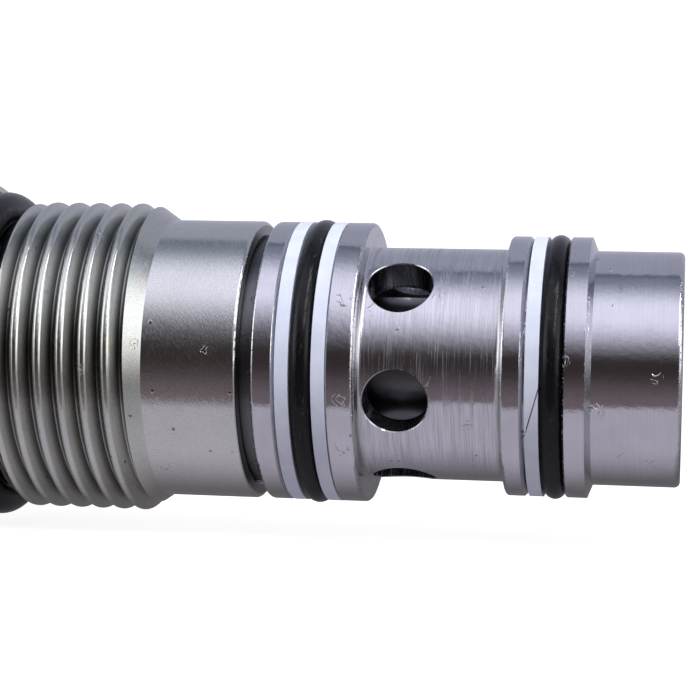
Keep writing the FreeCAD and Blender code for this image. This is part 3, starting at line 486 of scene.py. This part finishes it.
def build_stage():
    """A pale round floor that curves up into a pale wall all round."""
    profile = [(0.0, 0.0), (FLOOR_RADIUS, 0.0)]
    for i in range(1, BEND_STEPS + 1):
        turn = math.pi / 2 * i / BEND_STEPS
        profile.append((FLOOR_RADIUS + WALL_BEND * math.sin(turn), WALL_BEND * (1 - math.cos(turn))))
    profile.append((FLOOR_RADIUS + WALL_BEND, WALL_HEIGHT))
    verts = []
    for radius, height in profile:
        for i in range(AROUND):
            angle = 2 * math.pi * i / AROUND
            verts.append((radius * math.cos(angle), radius * math.sin(angle), CAD_LOW.z + height))
    faces = []
    for ring in range(len(profile) - 1):
        for i in range(AROUND):
            j = (i + 1) % AROUND
            low, high = ring * AROUND, (ring + 1) * AROUND
            faces.append((low + i, low + j, high + j, high + i))
    mesh = bpy.data.meshes.new("floor")
    mesh.from_pydata(verts, [], faces)
    mesh.shade_smooth()
    floor = bpy.data.objects.new("floor", mesh)
    scene.collection.objects.link(floor)
    material, graph = new_material("pale_floor")
    grain = graph.noise(graph.node("ShaderNodeTexCoord", output=3), 60 * MM, detail=2.0)
    finish_material(graph, {
        "Base Color": graph.mix(grain, (0.30, 0.30, 0.305, 1), (0.31, 0.31, 0.315, 1)),
        "Roughness": 0.9,
        "Specular IOR Level": 0.0,
        "Emission Color": (1.0, 1.0, 1.0, 1),
        "Emission Strength": 0.90,
    })
    mesh.materials.append(material)
    floor.visible_glossy = False
    floor.visible_diffuse = False
    floor.visible_transmission = False
    floor.visible_shadow = False


# The studio's surfaces: their light as seen in the metal.
UNDERSIDE = (0.16, 0.15, 0.16)
FLOOR_GLOW = (0.55, 0.52, 0.60)
TABLE_EDGE = (0.20, 0.16, 0.18)
DARK_FRONT = (0.05, 0.04, 0.04)
PANEL = (1.15, 1.15, 1.35)
CEILING = (0.28, 0.31, 0.40)
SEAM = (0.18, 0.19, 0.25)
BACK_WALL = (0.42, 0.44, 0.54)
HORIZON = (0.52, 0.52, 0.62)
END_WALL = (0.35, 0.35, 0.36)
END_PANEL = (2.0, 2.0, 2.05)

# Where each is, by elevation round the valve's axis in degrees: 0 is the front, 90 is overhead and
# -90 is straight down. The light eases from one to the next.
STUDIO = [
    (-180, UNDERSIDE),
    (-145, UNDERSIDE),
    (-80, FLOOR_GLOW),
    (-40, FLOOR_GLOW),
    (-35, TABLE_EDGE),
    (0, DARK_FRONT),
    (5, DARK_FRONT),
    (50, PANEL),
    (60, PANEL),
    (95, CEILING),
    (103, SEAM),
    (106, BACK_WALL),
    (135, BACK_WALL),
    (180, HORIZON),
]
# The same for directions that nearly follow the axis, past either end of the valve.
BACKDROP = [
    (-180, END_WALL),
    (-30, END_WALL),
    (35, END_PANEL),
    (60, END_PANEL),
    (105, END_WALL),
    (180, END_WALL),
]
BACKDROP_STARTS = 0.58
BACKDROP_FULL = 0.86
# A narrow bright strip light towards the nose, which glints on the O-rings and the rounded edges.
STRIP_ALONG = (0.42, 0.48)
STRIP_ELEVATION = (30, 84)
STRIP_LIGHT = (14.0, 14.0, 14.7)
PANEL_SLANT = 11
SOFTBOX_POWER = 3.0
SOFTBOX_PLACE = (0.05, -0.35, 0.62)


def light_by_angle(graph, degrees, stops):
    """The light that a table of angles and colours gives for an angle in degrees."""
    ramp = graph.add_node("ShaderNodeValToRGB", {0: graph.add(graph.multiply(degrees, 1 / 360), 0.5)})
    ramp.color_ramp.interpolation = "EASE"
    elements = ramp.color_ramp.elements
    first, last = elements[0], elements[1]
    first.color = (*stops[0][1], 1)
    last.color = (*stops[-1][1], 1)
    for angle, color in stops[1:-1]:
        elements.new((angle + 180) / 360).color = (*color, 1)
    return ramp.outputs[0]


def build_light():
    """Light the valve from all round, by the elevation of each direction about its axis."""
    world = bpy.data.worlds.new("studio")
    world.use_nodes = True
    scene.world = world
    graph = Graph(world.node_tree)
    direction = graph.node("ShaderNodeTexCoord", output=0)
    along, across, up = graph.add_node("ShaderNodeSeparateXYZ", {0: direction}).outputs
    elevation = graph.math("ARCTAN2", up, graph.multiply(across, -1.0))
    degrees = graph.multiply(elevation, 180 / math.pi)
    slant = graph.multiply(graph.ramp(along, -0.08, -0.26), graph.ramp(degrees, 0, 30, 0, PANEL_SLANT))
    round_axis = light_by_angle(graph, graph.math("SUBTRACT", degrees, slant), STUDIO)
    past_ends = light_by_angle(graph, degrees, BACKDROP)
    end_on = graph.ramp(graph.math("ABSOLUTE", along), BACKDROP_STARTS, BACKDROP_FULL)
    light = graph.mix(end_on, round_axis, past_ends)
    strip_height = graph.between(degrees, *STRIP_ELEVATION, 6)
    strip = graph.multiply(graph.between(along, *STRIP_ALONG, 0.01), strip_height)
    light = graph.mix(strip, light, (*STRIP_LIGHT, 1))
    shader = graph.node("ShaderNodeBackground", {"Color": light, "Strength": 1.0})
    graph.add_node("ShaderNodeOutputWorld", {"Surface": shader})
    softbox = bpy.data.lights.new("softbox", "AREA")
    softbox.shape = "RECTANGLE"
    softbox.size = 0.5
    softbox.size_y = 0.4
    softbox.energy = SOFTBOX_POWER
    softbox.color = (0.94, 0.96, 1.0)
    holder = bpy.data.objects.new("softbox", softbox)
    place = Vector(SOFTBOX_PLACE)
    holder.matrix_world = Matrix.Translation(place) @ place.to_track_quat("Z", "Y").to_matrix().to_4x4()
    holder.visible_glossy = False
    scene.collection.objects.link(holder)


def build_camera():
    """A level camera close in front of the valve, turned a little so that the nose is nearer."""
    yaw = math.radians(9.5)
    roll = math.radians(1.42)
    aim = Vector((30.55 * MM, 0, 0))
    distance = 159.85 * MM
    rise = 0.94 * MM
    ahead = Vector((-math.sin(yaw), math.cos(yaw), 0))
    level = Vector((math.cos(yaw), math.sin(yaw), 0))
    right = level * math.cos(roll) + Vector((0, 0, 1)) * math.sin(roll)
    up = right.cross(ahead)
    data = bpy.data.cameras.new("camera")
    data.sensor_width = 36
    data.lens = 100.83
    data.clip_start = 0.01
    data.clip_end = 20
    camera = bpy.data.objects.new("camera", data)
    turn = Matrix((right, up, -ahead)).transposed().to_4x4()
    camera.matrix_world = Matrix.Translation(aim - ahead * distance + up * rise) @ turn
    scene.collection.objects.link(camera)
    scene.camera = camera


build_camera()
build_light()
build_stage()
finishes = make_finishes()
dress(finishes)
build_springs(finishes["spring_steel"])
